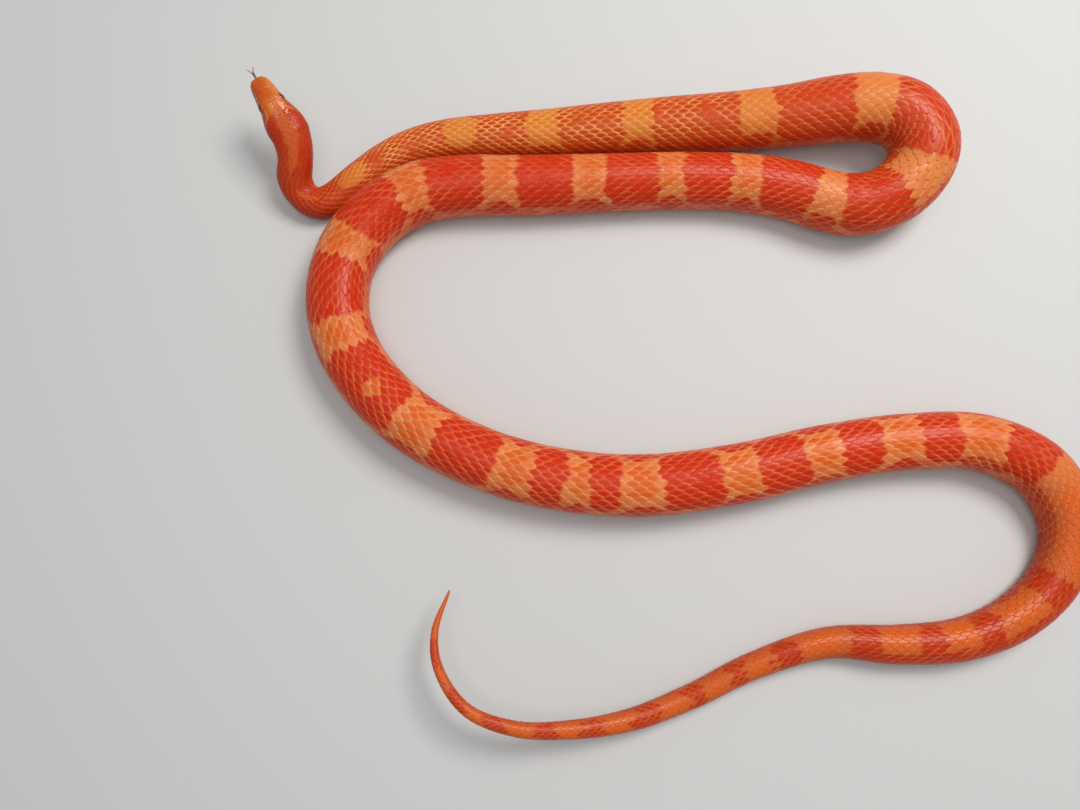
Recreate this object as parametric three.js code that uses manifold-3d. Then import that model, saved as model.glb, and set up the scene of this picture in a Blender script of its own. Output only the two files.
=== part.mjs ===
// A corn snake lying in long loose curves, head raised and tail tip lifted.
// Millimetres, +Z up. The belly lies on z = 0 and the model is centred over the origin.
import * as THREE from 'three';
import { mergeVertices } from 'three/addons/utils/BufferGeometryUtils.js';
import Module from 'manifold-3d';

const wasm = await Module();
wasm.setup();

// Driving sizes
const cutGap = 0.3; // thin cut between neighbouring lengths
const planCentre = [54.95, 56.4]; // middle of the lying animal, taken off every route point
const headLength = 27; // snout to the joint at the back of the jaw
const headPitch = 20; // degrees above the floor
const headHeading = 122.2; // degrees round from +X, seen from above
const ventArc = 1118; // the tail starts here, measured along the body from the head joint
const bodySides = 24;
const headSides = 44;
const lipCrowding = 0.3; // draws the head's sides together along the lips
const eyeRadius = 2.05;
const tongue = { root: 2.6, stem: 2.2, tine: 2.6, half: 0.6, thickness: 0.6, upturn: 0.05 };

// Body section, as shares of the half width
const backRise = 0.98; // back above the widest line
const bellyDrop = 0.8; // flat belly below the widest line
const bellyRound = 0.9; // depth the flanks would reach if the belly were not flat
const flankPower = 2.6; // squareness of the lower flanks
const backPower = 2.05;
const neckFlatness = [[0, 0.75], [14, 0.87], [70, 1]]; // the neck is lower than it is wide

// Route of the belly line: plan x, plan y, height of the belly above the floor
const route = [
  [-112.0, 173.2, 15.3], [-110.9, 167.7, 12.3], [-111.1, 162.6, 9.3], [-111.6, 157.2, 5.8],
  [-110.2, 151.6, 2.6], [-106.0, 147.2, 0.6], [-100.5, 145.8, 0], [-95.0, 147.7, 0],
  [-84.3, 156.4, 0], [-72.0, 165.3, 0], [-59.1, 171.6, 0], [-43.2, 175.3, 0],
  [-20.0, 176.9, 0], [5.0, 178.1, 0], [32.0, 180.0, 0], [60.0, 181.5, 0.4],
  [88.0, 182.4, 1.6], [112.0, 183.6, 3.6], [134.0, 185.3, 6], [151.4, 184.7, 8],
  [164.0, 179.9, 9], [170.8, 168.3, 8.8], [168.4, 156.7, 6.8], [158.7, 146.5, 4.6],
  [146.0, 142.0, 2.6], [132.0, 143.8, 1], [114.0, 149.8, 0.2], [94.0, 153.4, 0],
  [66.0, 154.6, 0], [28.0, 153.4, 0], [-4.0, 152.2, 0], [-36.0, 151.6, 0],
  [-56.3, 148.0, 0], [-74.0, 136.7, 0], [-86.0, 120.0, 0], [-90.1, 101.0, 0],
  [-87.2, 83.0, 0], [-77.2, 64.7, 0], [-57.0, 44.6, 0], [-26.7, 28.4, 0],
  [7.8, 18.9, 0], [45.0, 16.2, 0], [86.2, 21.3, 0], [123.3, 29.8, 0],
  [158.8, 34.9, 0], [193.0, 34.3, 0], [217.0, 22.0, 0], [227.0, 0.0, 0],
  [220.6, -21.8, 0], [203.4, -38.4, 0], [180.4, -48.2, 0], [152.5, -50.8, 0],
  [122.2, -50.3, 0], [90.0, -60.1, 0], [63.3, -72.5, 0.6], [37.7, -80.8, 5],
  [12.1, -83.5, 11], [-11.2, -81.9, 15.8], [-30.2, -74.1, 17.4], [-41.4, -58.5, 17.2],
  [-43.4, -44.5, 15.4], [-37.9, -27.7, 13.2],
];

// Half width of the body against the distance from the head joint
const girth = [
  [0, 8.9], [9, 8.2], [26, 7.3], [42, 7.4], [60, 7.8], [80, 8.5], [101, 9.3], [147, 10.8],
  [202, 12.3], [254, 13.4], [285, 14.6], [312, 14.9], [335, 14.4], [360, 13.7], [401, 12.9],
  [441, 12.5], [511, 13.1], [586, 13.8], [666, 13.5], [800, 13.4], [915, 12.4],
  [971, 12.5], [999, 11.6], [1026, 10.1], [1070, 9.1], [1110, 8.0], [1134, 6.5],
  [1170, 5.5], [1217, 4.7], [1266, 3.3], [1306, 2.3], [1330, 1.5], [1346, 0.5],
];

// Lengths of the body: name, where each one ends along the body, spacing of its rings
const lengths = [
  ['neck', 52, 3], ['trunk_1', 150, 6.5], ['trunk_2', 255, 8], ['trunk_3', 320, 5],
  ['trunk_4', 385, 5], ['trunk_5', 565, 9], ['trunk_6', 622, 6.5], ['trunk_7', 685, 6.5],
  ['trunk_8', 815, 9], ['trunk_9', 945, 8.5], ['trunk_10', 1010, 6], ['trunk_11', ventArc, 8],
  ['tail_1', 1240, 7.5], ['tail_2', Infinity, 4.5],
];

// Head outline against the distance from the snout: half width, rise and drop from the mouth line
const headHalfWidth = [
  [0, 0], [0.3, 2.0], [0.9, 3.1], [2.7, 4.2], [6, 5.0], [9.7, 5.6], [13, 6.1],
  [16.5, 7.2], [20, 8.3], [23.5, 8.95], [headLength, 8.9],
];
const headRise = [
  [0, 0.7], [0.3, 1.7], [0.9, 2.6], [2.7, 3.6], [6, 4.5], [9.7, 5.4], [13, 5.9],
  [18, 6.2], [23, 6.5], [headLength, 6.54],
];
const headDrop = [
  [0, 0.4], [0.3, 1.0], [0.9, 1.6], [2.7, 2.4], [6, 3.1], [9.7, 3.7], [13, 4.1],
  [18, 4.7], [23, 5.2], [headLength, 5.34],
];
const mouthLine = [[-2, 0], [0, 0], [5, -0.15], [12, -0.5], [17, -0.3], [21.5, 0.8]];
const mouthCorner = 21.5;
const throatCut = { back: 4.5, down: 9 };
const headBackPower = 2.45; // squareness of the head's section above the mouth line
const headChinPower = 2.2;
const cheekShare = 4; // how quickly the head's side relief fades over its midline
const neckTurn = 18; // the body swings from the head's axis to its own within this length
const frameReach = 3; // the body's direction is taken this far ahead and behind
const lip = { out: 0.22, fromMouth: 0.95, depth: 0.6 };
const brow = { out: 0.45, fromSnout: 12.3, length: 3.2, up: 4.7, depth: 1.0 };
const snoutHollow = { out: -0.45, fromSnout: 7.2, length: 2.3, up: 2.3, depth: 1.3 };
const eyePlace = { fromSnout: 11.9, side: 4.05, up: 2.85 };
const nostrilPlace = { fromSnout: 2.4, side: 4.1, up: 2.0 };
const nostrilRadius = 0.6;
const tongueTunnel = { radius: 0.95, length: 5 };

const materials = {
  skin: new THREE.MeshStandardMaterial({ color: 0xd4562a, roughness: 0.42, metalness: 0 }),
  head: new THREE.MeshStandardMaterial({ color: 0xcf6420, roughness: 0.4, metalness: 0 }),
  eye: new THREE.MeshStandardMaterial({ color: 0x4a0e10, roughness: 0.08, metalness: 0 }),
  tongue: new THREE.MeshStandardMaterial({ color: 0x6d1522, roughness: 0.35, metalness: 0 }),
};

// Smooth curve through [at, value] pairs that never overshoots them
function smoothProfile(pairs) {
  const last = pairs.length - 1;
  const slope = pairs.slice(1).map(([x, y], i) => (y - pairs[i][1]) / (x - pairs[i][0]));
  const tangent = pairs.map((_, i) => {
    if (i === 0) return slope[0];
    if (i === last) return slope[last - 1];
    if (slope[i - 1] * slope[i] <= 0) return 0;
    return 2 / (1 / slope[i - 1] + 1 / slope[i]);
  });
  return (at) => {
    if (at <= pairs[0][0]) return pairs[0][1];
    if (at >= pairs[last][0]) return pairs[last][1];
    const i = pairs.findIndex(([x]) => x > at) - 1;
    const width = pairs[i + 1][0] - pairs[i][0];
    const t = (at - pairs[i][0]) / width;
    const u = 1 - t;
    return pairs[i][1] * u * u * (1 + 2 * t) + pairs[i + 1][1] * t * t * (3 - 2 * t)
      + width * t * u * (tangent[i] * u - tangent[i + 1] * t);
  };
}

const bump = (x, centre, spread) => Math.exp(-(((x - centre) / spread) ** 2));
const signedPower = (x, power) => Math.sign(x) * Math.abs(x) ** power;

// Plan curve of the body, its arc length and the height of its belly
const planCurve = new THREE.CatmullRomCurve3(
  route.map(([x, y]) => new THREE.Vector3(x - planCentre[0], y - planCentre[1], 0)),
  false,
  'centripetal',
);
planCurve.arcLengthDivisions = 4000;
const bodyArc = planCurve.getLength();

function arcOfRoutePoint(index) {
  const share = index / (route.length - 1);
  const samples = planCurve.getLengths();
  const at = share * (samples.length - 1);
  const low = Math.min(Math.floor(at), samples.length - 2);
  return samples[low] + (samples[low + 1] - samples[low]) * (at - low);
}

const bellyHeight = smoothProfile(route.map(([, , lift], i) => [arcOfRoutePoint(i), lift]));
const halfWidthAt = smoothProfile(girth);
const flatnessAt = smoothProfile(neckFlatness);

function bellyPoint(arc) {
  const point = planCurve.getPointAt(THREE.MathUtils.clamp(arc / bodyArc, 0, 1));
  point.z = bellyHeight(arc);
  return point;
}

// Head frame: x towards the snout, y to the animal's left, z out of the back of the head.
// Its origin is the middle of the joint, straight over the front end of the belly line.
const headFrame = new THREE.Matrix4()
  .makeRotationZ(THREE.MathUtils.degToRad(headHeading))
  .multiply(new THREE.Matrix4().makeRotationY(-THREE.MathUtils.degToRad(headPitch)));
const headAxis = new THREE.Vector3(-1, 0, 0).transformDirection(headFrame);
const jointRise = bellyDrop * flatnessAt(0) * halfWidthAt(0);
headFrame.setPosition(
  bellyPoint(0).add(new THREE.Vector3(0, 0, jointRise).applyMatrix4(headFrame)),
);

// Direction of travel, side and up at a place along the body, head to tail
function bodyFrame(arc) {
  const ahead = bellyPoint(Math.min(arc + frameReach, bodyArc));
  const behind = bellyPoint(Math.max(arc - frameReach, 0));
  const along = ahead.sub(behind).normalize();
  along.lerp(headAxis, 1 - THREE.MathUtils.smoothstep(arc, 0, neckTurn)).normalize();
  const side = new THREE.Vector3(0, 0, 1).cross(along).normalize();
  const up = along.clone().cross(side);
  return { along, side, up };
}

// One closed ring of the trunk, in shares of the half width, from its right side over the back
function trunkSection(sides) {
  return Array.from({ length: sides }, (_, j) => {
    const turn = (2 * Math.PI * j) / sides;
    const c = Math.cos(turn);
    const s = Math.sin(turn);
    if (s >= 0) {
      return [signedPower(c, 2 / backPower), backRise * Math.abs(s) ** (2 / backPower)];
    }
    const drop = bellyRound * Math.abs(s) ** (2 / flankPower);
    return [signedPower(c, 2 / flankPower), -Math.min(drop, bellyDrop)];
  });
}

// A ring of the body, moved on by a little where it faces a cut, so the faces stay parallel
function bodyRing(arc, shift = 0) {
  const r = halfWidthAt(arc);
  const flat = flatnessAt(arc);
  const { along, side, up } = bodyFrame(arc);
  const centre = bellyPoint(arc)
    .addScaledVector(up, bellyDrop * r * flat)
    .addScaledVector(along, shift);
  return trunkSection(bodySides).map(([across, rise]) => centre.clone()
    .addScaledVector(side, across * r)
    .addScaledVector(up, rise * r * flat));
}

// Closed skin over a row of rings with equal counts, fanned shut at both ends
function loft(rings) {
  const sides = rings[0].length;
  const middle = (ring) => ring.reduce((sum, p) => sum.add(p), new THREE.Vector3())
    .divideScalar(sides);
  const points = [...rings.flat(), middle(rings[0]), middle(rings[rings.length - 1])];
  const startMiddle = points.length - 2;
  const endMiddle = points.length - 1;
  const index = [];
  for (let i = 0; i < rings.length - 1; i += 1) {
    for (let j = 0; j < sides; j += 1) {
      const a = i * sides + j;
      const b = i * sides + ((j + 1) % sides);
      index.push(a, b, a + sides, b, b + sides, a + sides);
    }
  }
  const lastRing = (rings.length - 1) * sides;
  for (let j = 0; j < sides; j += 1) {
    const next = (j + 1) % sides;
    index.push(startMiddle, next, j);
    index.push(endMiddle, lastRing + j, lastRing + next);
  }
  const geometry = new THREE.BufferGeometry();
  geometry.setAttribute(
    'position',
    new THREE.Float32BufferAttribute(points.flatMap((p) => [p.x, p.y, p.z]), 3),
  );
  geometry.setIndex(index);
  return geometry;
}

function toSolid(geometry) {
  const plain = geometry.clone();
  plain.deleteAttribute('normal');
  plain.deleteAttribute('uv');
  const merged = mergeVertices(plain, 1e-5);
  return new wasm.Manifold(new wasm.Mesh({
    numProp: 3,
    vertProperties: new Float32Array(merged.attributes.position.array),
    triVerts: new Uint32Array(merged.index.array),
  }));
}

function toGeometry(solid) {
  const mesh = solid.getMesh();
  const geometry = new THREE.BufferGeometry();
  geometry.setAttribute('position', new THREE.Float32BufferAttribute(mesh.vertProperties, 3));
  geometry.setIndex(Array.from(mesh.triVerts));
  return geometry;
}

// Head in its own frame
const headWidthAt = smoothProfile(headHalfWidth);
const headRiseAt = smoothProfile(headRise);
const headDropAt = smoothProfile(headDrop);
const mouthAt = smoothProfile(mouthLine);

const reliefAt = (spot, fromSnout, z) => spot.out
  * bump(fromSnout, spot.fromSnout, spot.length) * bump(z, spot.up, spot.depth);

function lipRelief(fromSnout, z) {
  const fade = THREE.MathUtils.smoothstep(fromSnout, 0, 3)
    * (1 - THREE.MathUtils.smoothstep(fromSnout, mouthCorner - 3, mouthCorner + 3));
  const above = z - mouthAt(fromSnout);
  const upper = bump(above, lip.fromMouth, lip.depth);
  const lower = bump(above, -lip.fromMouth, lip.depth);
  return lip.out * fade * (upper + lower);
}

function headRing(fromSnout) {
  const width = headWidthAt(fromSnout);
  const rise = headRiseAt(fromSnout);
  const drop = headDropAt(fromSnout);
  const toNeck = THREE.MathUtils.smoothstep(fromSnout, mouthCorner, headLength);
  const topPower = THREE.MathUtils.lerp(headBackPower, backPower, toNeck);
  const lowPower = THREE.MathUtils.lerp(headChinPower, flankPower, toNeck);
  const flatDrop = THREE.MathUtils.lerp(1, bellyRound / bellyDrop, toNeck);
  return Array.from({ length: headSides }, (_, j) => {
    const even = (2 * Math.PI * j) / headSides;
    const turn = even - lipCrowding * Math.sin(2 * even);
    const c = Math.cos(turn);
    const s = Math.sin(turn);
    const power = s >= 0 ? topPower : lowPower;
    const lift = Math.abs(s) ** (2 / power);
    const z = s >= 0 ? rise * lift : -Math.min(drop * flatDrop * lift, drop);
    const relief = reliefAt(brow, fromSnout, z) + reliefAt(snoutHollow, fromSnout, z)
      + lipRelief(fromSnout, z);
    const onFlank = THREE.MathUtils.clamp(c * cheekShare, -1, 1);
    return new THREE.Vector3(
      headLength - fromSnout,
      signedPower(c, 2 / power) * width + relief * onFlank,
      z,
    );
  });
}

// Rings are evenly spaced to the snout, then close up where it rounds off
function headShape() {
  const spacing = 1.05;
  const roundedFrom = 3.2;
  const roundedSteps = 7;
  const stations = [];
  for (let at = headLength; at > roundedFrom; at -= spacing) stations.push(at);
  for (let i = 1; i <= roundedSteps; i += 1) {
    stations.push(roundedFrom * (1 - (i - 0.1) / roundedSteps) ** 2);
  }
  return toSolid(loft(stations.map(headRing)));
}

// A slab right across the head, its outline given in the head's side view
function acrossHead(outline) {
  const reach = 24;
  const shape = new THREE.Shape(outline.map(([x, z]) => new THREE.Vector2(x, z)));
  const slab = new THREE.ExtrudeGeometry(shape, { depth: reach, bevelEnabled: false, steps: 1 });
  slab.rotateX(Math.PI / 2);
  slab.translate(0, reach / 2, 0);
  return toSolid(slab);
}

// The line of the mouth, and the cut down behind it that frees the lower jaw
function mouthCut() {
  const slotHeight = cutGap + 0.05;
  const steps = 14;
  const ahead = 2;
  const line = [];
  for (let i = 0; i <= steps; i += 1) {
    const fromSnout = ((mouthCorner + ahead) * i) / steps - ahead;
    line.push([headLength - fromSnout, mouthAt(fromSnout)]);
  }
  const slot = acrossHead([
    ...line.map(([x, z]) => [x, z + slotHeight / 2]),
    ...line.map(([x, z]) => [x, z - slotHeight / 2]).reverse(),
  ]);
  const [cornerX, cornerZ] = line[steps];
  const top = cornerZ + slotHeight / 2;
  const throat = acrossHead([
    [cornerX, top], [cornerX - throatCut.back, -throatCut.down],
    [cornerX - throatCut.back + cutGap, -throatCut.down], [cornerX + cutGap, top],
  ]);
  return slot.add(throat);
}

function ballAt({ fromSnout, side, up }, radius, around, down) {
  const ball = new THREE.SphereGeometry(radius, around, down);
  ball.translate(headLength - fromSnout, side, up);
  return ball;
}

// Forked tongue, flat, its tips curving up
function tongueGeometry() {
  const {
    root, stem, tine, half, thickness, upturn,
  } = tongue;
  const right = [
    [-root, -0.8 * half], [0, -half], [stem, -half], [stem + tine / 2, -2.2 * half],
    [stem + tine, -3.2 * half], [stem + tine, -2.3 * half], [stem + tine / 2, -0.95 * half],
  ];
  const outline = [...right, [stem + half / 2, 0], ...right.map(([x, y]) => [x, -y]).reverse()];
  const shape = new THREE.Shape(outline.map(([x, y]) => new THREE.Vector2(x, y)));
  const flat = new THREE.ExtrudeGeometry(shape, { depth: thickness, bevelEnabled: false, steps: 1 });
  const place = flat.attributes.position;
  for (let i = 0; i < place.count; i += 1) {
    const ahead = Math.max(0, place.getX(i));
    place.setZ(i, place.getZ(i) - thickness / 2 + upturn * ahead * ahead);
  }
  flat.translate(headLength, 0, 0);
  return flat;
}

function tunnelForTongue() {
  const { radius, length } = tongueTunnel;
  const tunnel = new THREE.CylinderGeometry(radius, radius, length, 16, 1);
  tunnel.rotateZ(Math.PI / 2);
  tunnel.translate(headLength + cutGap + tongue.stem - length, 0, 0);
  return toSolid(tunnel);
}

const snake = new THREE.Group();

function addNode(name, geometry, material, frame) {
  const mesh = new THREE.Mesh(geometry, material);
  mesh.name = name;
  if (frame) {
    frame.decompose(mesh.position, mesh.quaternion, mesh.scale);
  }
  snake.add(mesh);
}

function addHead() {
  const sides = [['left', 1], ['right', -1]];
  let solid = headShape().subtract(tunnelForTongue());
  sides.forEach(([, sign]) => {
    const eye = { ...eyePlace, side: sign * eyePlace.side };
    const nostril = { ...nostrilPlace, side: sign * nostrilPlace.side };
    solid = solid.subtract(toSolid(ballAt(eye, eyeRadius + cutGap, 24, 16)));
    solid = solid.subtract(toSolid(ballAt(nostril, nostrilRadius, 12, 8)));
  });
  const pieces = solid.subtract(mouthCut()).decompose()
    .sort((a, b) => b.volume() - a.volume());
  addNode('head', toGeometry(pieces[0]), materials.head, headFrame);
  addNode('lower_jaw', toGeometry(pieces[1]), materials.head, headFrame);
  sides.forEach(([name, sign]) => {
    const eye = { ...eyePlace, side: sign * eyePlace.side };
    addNode(`eye_${name}`, ballAt(eye, eyeRadius, 24, 16), materials.eye, headFrame);
  });
  addNode('tongue', tongueGeometry(), materials.tongue, headFrame);
}

function addBody() {
  let start = 0;
  lengths.forEach(([name, wanted, spacing]) => {
    const end = Math.min(wanted, bodyArc);
    const steps = Math.round((end - start) / spacing);
    const rings = [bodyRing(start, start > 0 ? cutGap / 2 : cutGap)];
    for (let i = 1; i < steps; i += 1) {
      rings.push(bodyRing(start + ((end - start) * i) / steps));
    }
    rings.push(bodyRing(end, end < bodyArc ? -cutGap / 2 : 0));
    addNode(name, loft(rings), materials.skin);
    start = end;
  });
}

addHead();
addBody();

export default snake;
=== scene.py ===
# Corn snake lying in loose curves: one skin, a coat of solid scales, belly scutes, eyes and tongue.
import bpy
import math
import numpy as np
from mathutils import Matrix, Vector


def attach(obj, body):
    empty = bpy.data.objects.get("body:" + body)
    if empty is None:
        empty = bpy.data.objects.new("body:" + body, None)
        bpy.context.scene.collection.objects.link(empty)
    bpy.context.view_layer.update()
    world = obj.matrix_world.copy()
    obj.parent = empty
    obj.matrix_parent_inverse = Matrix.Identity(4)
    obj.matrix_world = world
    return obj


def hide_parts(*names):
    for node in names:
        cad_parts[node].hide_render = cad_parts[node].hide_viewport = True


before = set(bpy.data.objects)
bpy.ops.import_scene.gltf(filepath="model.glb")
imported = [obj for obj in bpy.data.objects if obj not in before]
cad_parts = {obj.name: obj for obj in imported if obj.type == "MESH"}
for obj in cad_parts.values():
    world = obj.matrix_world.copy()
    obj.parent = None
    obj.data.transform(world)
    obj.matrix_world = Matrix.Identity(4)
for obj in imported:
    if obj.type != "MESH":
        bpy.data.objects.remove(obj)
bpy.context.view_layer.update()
mm = 0.001  # shapes are worked out in millimetres and made in metres
rng = np.random.default_rng(27)

# The animal's line, girth and head, as in the solids
planCentre = np.array([54.95, 56.4])
headLength = 27.0
headPitch = math.radians(20)
headHeading = math.radians(122.2)
mouthCorner = 21.5
route = [
    (-112.0, 173.2, 15.3), (-110.9, 167.7, 12.3), (-111.1, 162.6, 9.3), (-111.6, 157.2, 5.8),
    (-110.2, 151.6, 2.6), (-106.0, 147.2, 0.6), (-100.5, 145.8, 0), (-95.0, 147.7, 0),
    (-84.3, 156.4, 0), (-72.0, 165.3, 0), (-59.1, 171.6, 0), (-43.2, 175.3, 0),
    (-20.0, 176.9, 0), (5.0, 178.1, 0), (32.0, 180.0, 0), (60.0, 181.5, 0.4),
    (88.0, 182.4, 1.6), (112.0, 183.6, 3.6), (134.0, 185.3, 6), (151.4, 184.7, 8),
    (164.0, 179.9, 9), (170.8, 168.3, 8.8), (168.4, 156.7, 6.8), (158.7, 146.5, 4.6),
    (146.0, 142.0, 2.6), (132.0, 143.8, 1), (114.0, 149.8, 0.2), (94.0, 153.4, 0),
    (66.0, 154.6, 0), (28.0, 153.4, 0), (-4.0, 152.2, 0), (-36.0, 151.6, 0),
    (-56.3, 148.0, 0), (-74.0, 136.7, 0), (-86.0, 120.0, 0), (-90.1, 101.0, 0),
    (-87.2, 83.0, 0), (-77.2, 64.7, 0), (-57.0, 44.6, 0), (-26.7, 28.4, 0),
    (7.8, 18.9, 0), (45.0, 16.2, 0), (86.2, 21.3, 0), (123.3, 29.8, 0),
    (158.8, 34.9, 0), (193.0, 34.3, 0), (217.0, 22.0, 0), (227.0, 0.0, 0),
    (220.6, -21.8, 0), (203.4, -38.4, 0), (180.4, -48.2, 0), (152.5, -50.8, 0),
    (122.2, -50.3, 0), (90.0, -60.1, 0), (63.3, -72.5, 0.6), (37.7, -80.8, 5),
    (12.1, -83.5, 11), (-11.2, -81.9, 15.8), (-30.2, -74.1, 17.4), (-41.4, -58.5, 17.2),
    (-43.4, -44.5, 15.4), (-37.9, -27.7, 13.2),
]
girth = [
    (0, 8.9), (9, 8.2), (26, 7.3), (42, 7.4), (60, 7.8), (80, 8.5), (101, 9.3), (147, 10.8),
    (202, 12.3), (254, 13.4), (285, 14.6), (312, 14.9), (335, 14.4), (360, 13.7), (401, 12.9),
    (441, 12.5), (511, 13.1), (586, 13.8), (666, 13.5), (800, 13.4), (915, 12.4),
    (971, 12.5), (999, 11.6), (1026, 10.1), (1070, 9.1), (1110, 8.0), (1134, 6.5),
    (1170, 5.5), (1217, 4.7), (1266, 3.3), (1306, 2.3), (1330, 1.5), (1346, 0.5),
]
section = {"backRise": 0.98, "bellyDrop": 0.8, "bellyRound": 0.9, "flankPower": 2.6, "backPower": 2.05}
neckFlatness = [(0, 0.75), (14, 0.87), (70, 1)]
headHalfWidth = [
    (0, 0), (0.3, 2.0), (0.9, 3.1), (2.7, 4.2), (6, 5.0), (9.7, 5.6), (13, 6.1),
    (16.5, 7.2), (20, 8.3), (23.5, 8.95), (headLength, 8.9),
]
headRise = [
    (0, 0.7), (0.3, 1.7), (0.9, 2.6), (2.7, 3.6), (6, 4.5), (9.7, 5.4), (13, 5.9),
    (18, 6.2), (23, 6.5), (headLength, 6.54),
]
headDrop = [
    (0, 0.4), (0.3, 1.0), (0.9, 1.6), (2.7, 2.4), (6, 3.1), (9.7, 3.7), (13, 4.1),
    (18, 4.7), (23, 5.2), (headLength, 5.34),
]
mouthLine = [(-2, 0), (0, 0), (5, -0.15), (12, -0.5), (17, -0.3), (mouthCorner, 0.8)]
# how square the head's sections are, and its swellings: height, then middle and spread along and up, in mm
headForm = {
    "topPower": 2.45, "lowPower": 2.2,
    "brow": (0.45, 12.3, 3.2, 4.7, 1.0), "hollow": (-0.45, 7.2, 2.3, 2.3, 1.3),
    "lips": 0.22, "lipUp": 0.95, "lipSpread": 0.6,
}
neckTurn = 18.0  # sections turn from the head's direction to the line's over this stretch
frameReach = 3.0  # a section faces the way the line runs from this far before it to this far after it
ventArc = 1118.0  # the tail starts here


# Curves and profiles

def smoothProfile(pairs):
    xs, ys = np.array(pairs, float).T
    slope = np.diff(ys) / np.diff(xs)
    tangent = np.concatenate([slope[:1], np.zeros(len(xs) - 2), slope[-1:]])
    for i in range(1, len(xs) - 1):
        if slope[i - 1] * slope[i] > 0:
            tangent[i] = 2 / (1 / slope[i - 1] + 1 / slope[i])

    def at(x):
        x = np.clip(x, xs[0], xs[-1])
        i = np.clip(np.searchsorted(xs, x, side="right") - 1, 0, len(xs) - 2)
        width = xs[i + 1] - xs[i]
        t = (x - xs[i]) / width
        u = 1 - t
        return (ys[i] * u * u * (1 + 2 * t) + ys[i + 1] * t * t * (3 - 2 * t)
                + width * t * u * (tangent[i] * u - tangent[i + 1] * t))
    return at


def smoothstep(x, low, high):
    t = np.clip((x - low) / (high - low), 0, 1)
    return t * t * (3 - 2 * t)


def fadeOut(x, low, high):
    return 1 - smoothstep(x, low, high)


def bump(x, centre, spread):
    return np.exp(-(((x - centre) / spread) ** 2))


# a soft patch from its height and its middle and spread in x and in y
def softPatch(x, y, height, middleX, spreadX, middleY, spreadY):
    return height * bump(x, middleX, spreadX) * bump(y, middleY, spreadY)


# centripetal curve through the points, sampled evenly in its own parameter
def throughPoints(points, count):
    p = np.array(points, float)
    p = np.vstack([2 * p[0] - p[1], p, 2 * p[-1] - p[-2]])
    t = np.linspace(0, len(points) - 1, count)
    i = np.minimum(t.astype(int), len(points) - 2)
    w = (t - i)[:, None]
    a, b, c, d = p[i], p[i + 1], p[i + 2], p[i + 3]
    ab, bc, cd = (np.linalg.norm(q - r, axis=1)[:, None] ** 0.5 for q, r in ((b, a), (c, b), (d, c)))
    start = ((b - a) / ab - (c - a) / (ab + bc) + (c - b) / bc) * bc
    end = ((c - b) / bc - (d - b) / (bc + cd) + (d - c) / cd) * bc
    return (b + start * w + (-3 * b + 3 * c - 2 * start - end) * w ** 2
            + (2 * b - 2 * c + start + end) * w ** 3)


# The animal's surface as a table: rows from the snout to the tail tip, columns round the section
perPoint = 80
plan = throughPoints([(x - planCentre[0], y - planCentre[1]) for x, y, _ in route],
                     perPoint * (len(route) - 1) + 1)
run = np.concatenate([[0], np.cumsum(np.linalg.norm(np.diff(plan, axis=0), axis=1))])
bodyArc = run[-1]
bellyHeightAt = smoothProfile([(run[perPoint * i], lift) for i, (_, _, lift) in enumerate(route)])
halfWidthAt = smoothProfile(girth)
flatnessAt = smoothProfile(neckFlatness)
headWidthAt = smoothProfile(headHalfWidth)
headRiseAt = smoothProfile(headRise)
headDropAt = smoothProfile(headDrop)
mouthAt = smoothProfile(mouthLine)
columns = 96  # steps round half a section


def bellyPoint(arc):
    return np.stack([np.interp(arc, run, plan[:, 0]), np.interp(arc, run, plan[:, 1]), bellyHeightAt(arc)],
                    -1)


def unit(v):
    return v / np.maximum(np.linalg.norm(v, axis=-1, keepdims=True), 1e-12)


headX = np.array([math.cos(headHeading) * math.cos(headPitch),
                  math.sin(headHeading) * math.cos(headPitch), math.sin(headPitch)])
headY = np.array([-math.sin(headHeading), math.cos(headHeading), 0])
headZ = np.cross(headX, headY)
headOrigin = bellyPoint(0.0) + headZ * section["bellyDrop"] * flatnessAt(0.0) * halfWidthAt(0.0)


# a point of the head's own frame, in the row frame
def headPoint(ahead, left, up):
    return (headOrigin + np.multiply.outer(ahead, headX) + np.multiply.outer(left, headY)
            + np.multiply.outer(up, headZ))


# a half section's points again, evenly spaced along its line
def evenly(across, rise):
    line = np.concatenate([[0], np.cumsum(np.hypot(np.diff(across), np.diff(rise)))])
    even = np.linspace(0, line[-1], columns + 1)
    return np.interp(even, line, across), np.interp(even, line, rise)


halfTurn = np.radians(np.linspace(90, -90, 721))
cosTurn, sinTurn = np.maximum(np.cos(halfTurn), 0), np.sin(halfTurn)


# half a section: squareness above and below, rise of the back, roundness below and where that is cut flat
def halfSection(topPower, lowPower, top, low, flat):
    power = np.where(sinTurn >= 0, topPower, lowPower)
    lift = np.abs(sinTurn) ** (2 / power)
    return cosTurn ** (2 / power), np.where(sinTurn >= 0, top * lift, -np.minimum(low * lift, flat))


def bodyHalfSection():
    return evenly(*halfSection(section["backPower"], section["flankPower"], section["backRise"],
                               section["bellyRound"], section["bellyDrop"]))


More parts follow.
